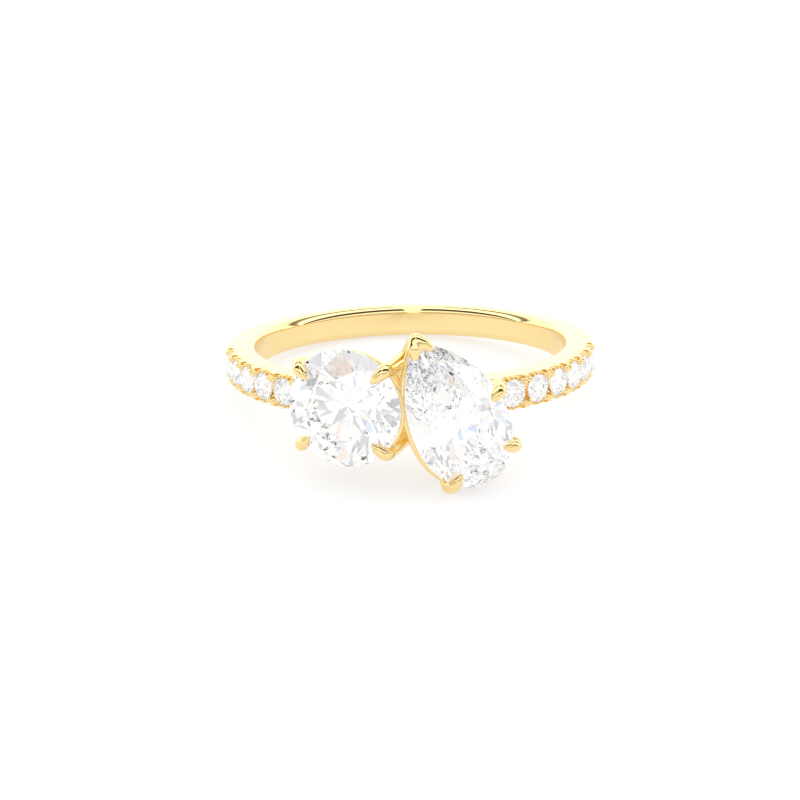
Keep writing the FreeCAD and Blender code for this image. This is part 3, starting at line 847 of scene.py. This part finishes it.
def add_room():
    world = bpy.data.worlds.new("studio")
    bpy.context.scene.world = world
    world.use_nodes = True
    nodes, links = world.node_tree.nodes, world.node_tree.links
    background = nodes["Background"]
    background.inputs["Strength"].default_value = ROOM_SCALE

    direction = nodes.new("ShaderNodeTexCoord").outputs["Generated"]
    parts = nodes.new("ShaderNodeSeparateXYZ")
    links.new(direction, parts.inputs["Vector"])
    forward = maths(nodes, links, "MULTIPLY", parts.outputs["Y"], -1.0)
    height = maths(nodes, links, "MAXIMUM", parts.outputs["Z"], 0.0)
    angle = maths(nodes, links, "ARCTAN2", height, forward)
    share = maths(nodes, links, "DIVIDE", angle, math.pi)
    gold_bands = add_bands(nodes, links, share, GOLD_ROOM)
    stone_bands = add_bands(nodes, links, share, STONE_ROOM)
    patches = nodes.new("ShaderNodeTexNoise")
    patches.inputs["Scale"].default_value = 3.0
    patches.inputs["Detail"].default_value = 1.0
    links.new(direction, patches.inputs["Vector"])
    screens = add_ramp(nodes, links, patches.outputs["Fac"], SCREENS)
    stone_room = mix_colours(nodes, links, 1.0, stone_bands, screens, "MULTIPLY")

    shifted = maths(nodes, links, "ADD", parts.outputs["X"], GLARE_SIDE)
    aside = maths(nodes, links, "ABSOLUTE", shifted, 0.0)
    glare = add_ramp(nodes, links, aside, GLARE)
    gold_room = mix_colours(nodes, links, 1.0, gold_bands, glare, "LIGHTEN")

    rays = nodes.new("ShaderNodeLightPath").outputs
    seen = mix_colours(nodes, links, rays["Is Transmission Ray"], gold_room, stone_room)
    seen = mix_colours(nodes, links, rays["Is Diffuse Ray"], seen, FLOOR_LIGHT / ROOM_SCALE)
    seen = mix_colours(nodes, links, rays["Is Camera Ray"], seen, CAMERA_LIGHT / ROOM_SCALE)
    links.new(seen, background.inputs["Color"])


# Camera, fitted to the photo's outlines of the hoop and the stones

VIEW_ELEVATION = math.radians(13.75)
VIEW_ROLL = math.radians(0.87)
VIEW_DISTANCE = 110.0
PIXELS_PER_MM = 17.85
IMAGE_SIDE = 800
SENSOR = 36.0
CENTRE_PIXEL = (410.24, 355.8)


def add_camera():
    right = np.array([1.0, 0, 0])
    up = np.array([0, math.sin(VIEW_ELEVATION), math.cos(VIEW_ELEVATION)])
    back = np.array([0, -math.cos(VIEW_ELEVATION), math.sin(VIEW_ELEVATION)])
    rolled_up = up * math.cos(VIEW_ROLL) + right * math.sin(VIEW_ROLL)
    rolled_right = right * math.cos(VIEW_ROLL) - up * math.sin(VIEW_ROLL)
    aside = (CENTRE_PIXEL[0] - IMAGE_SIDE / 2) / PIXELS_PER_MM
    above = (IMAGE_SIDE / 2 - CENTRE_PIXEL[1]) / PIXELS_PER_MM
    aim = -rolled_right * aside - rolled_up * above
    eye = back * VIEW_DISTANCE

    data = bpy.data.cameras.new("camera")
    data.sensor_width = SENSOR
    data.lens = PIXELS_PER_MM * VIEW_DISTANCE * SENSOR / IMAGE_SIDE
    data.clip_start = 0.002
    data.clip_end = 20
    camera = place_object("camera", data)
    behind = (eye - aim) / np.linalg.norm(eye - aim)
    side = np.cross(rolled_up, behind)
    side /= np.linalg.norm(side)
    top = np.cross(behind, side)
    axes = Matrix((TURN @ np.stack([side, top, behind], -1)).tolist())
    camera.matrix_world = Matrix.Translation(laid(eye)) @ axes.to_4x4()
    bpy.context.scene.camera = camera


BOUNCES = 24


def set_light_paths():
    """Enough bounces for light that wanders inside the stones, and plain colours."""
    settings = bpy.context.scene.cycles
    settings.max_bounces = BOUNCES
    settings.transmission_bounces = BOUNCES
    settings.glossy_bounces = BOUNCES
    bpy.context.scene.view_settings.view_transform = "Standard"


# The ring and its studio

ROUND_MESH, ROUND_PLANES = faceted_stone("round_brilliant", "round_stone")
PEAR_PLANES = faceted_stone("pear_brilliant", "pear_stone")[1]
make_small_stones(ROUND_MESH)
make_hoop_back()
make_head()
make_shoulder("gold_shoulder_round_side", -1)
make_shoulder("gold_shoulder_pear_side", 1)
make_round_basket()
make_pear_basket()
add_floor()
add_room()
add_camera()
set_light_paths()
